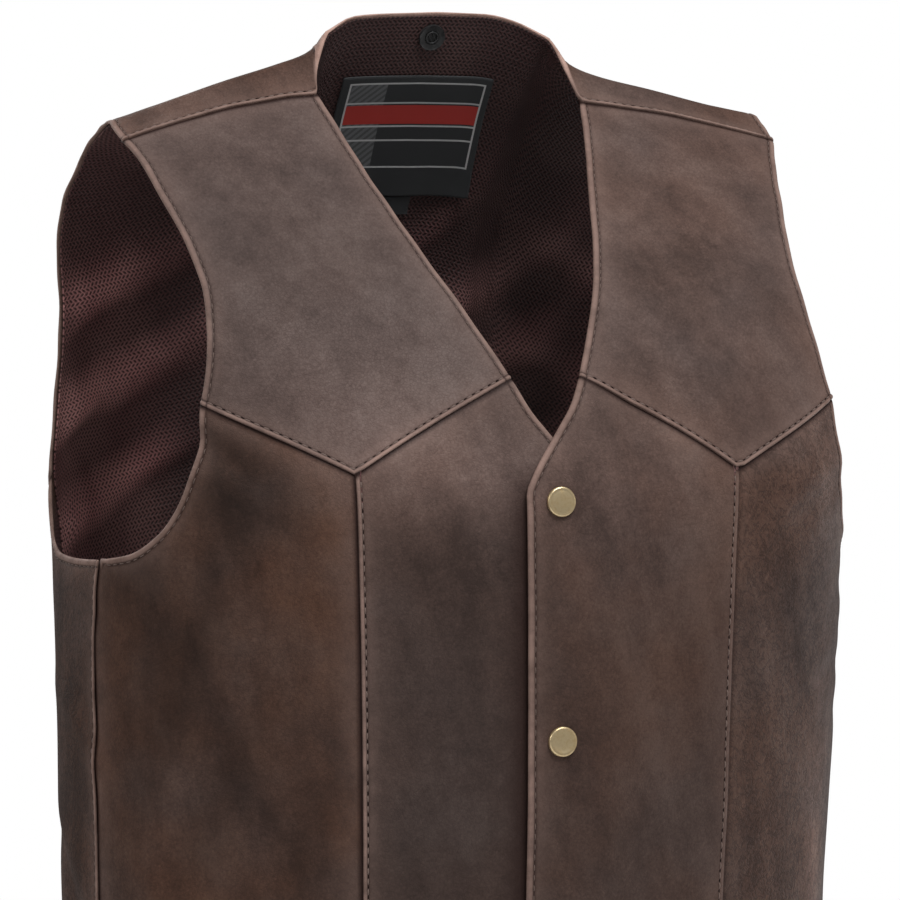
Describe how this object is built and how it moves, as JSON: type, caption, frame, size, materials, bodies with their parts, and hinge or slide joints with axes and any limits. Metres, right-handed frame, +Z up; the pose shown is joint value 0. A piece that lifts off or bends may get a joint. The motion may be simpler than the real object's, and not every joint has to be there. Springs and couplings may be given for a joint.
{
  "type": "western vest",
  "caption": "Worn-form brown leather western vest with a V neck, pointed front yokes, side panels, a mesh-lined back and a snapped front.",
  "frame": {"origin": "midway between the shoulders, level with their outer ends, where the wearer's shoulders hold the vest", "axes": "+Z up, +X towards the wearer's left, and the fronts face -Y"},
  "size_m": [0.4109, 0.2731, 0.6301],
  "materials": {
    "leather": "matt, mottled and worn along the edges",
    "mesh_lining": "coarse knitted mesh",
    "label_cloth": "woven",
    "brass": "antique, satin",
    "black_metal": "satin"
  },
  "bodies": {
    "root": {"yoke_left": "leather", "yoke_right": "leather", "centre_front_left": "leather", "centre_front_right": "leather", "side_front_left": "leather", "side_front_right": "leather", "side_panel_left": "leather", "side_panel_right": "leather", "back": "leather", "back_lining": "mesh_lining", "label": "label_cloth", "size_tab": "label_cloth", "snap_cap_1": "brass", "snap_core_1": "brass", "snap_back_1": "brass", "snap_cap_2": "brass", "snap_core_2": "brass", "snap_back_2": "brass", "snap_cap_3": "brass", "snap_core_3": "brass", "snap_back_3": "brass", "snap_cap_4": "brass", "snap_core_4": "brass", "snap_back_4": "brass", "neck_snap_socket": "black_metal", "neck_snap_cap": "black_metal"}
  },
  "joints": []
}
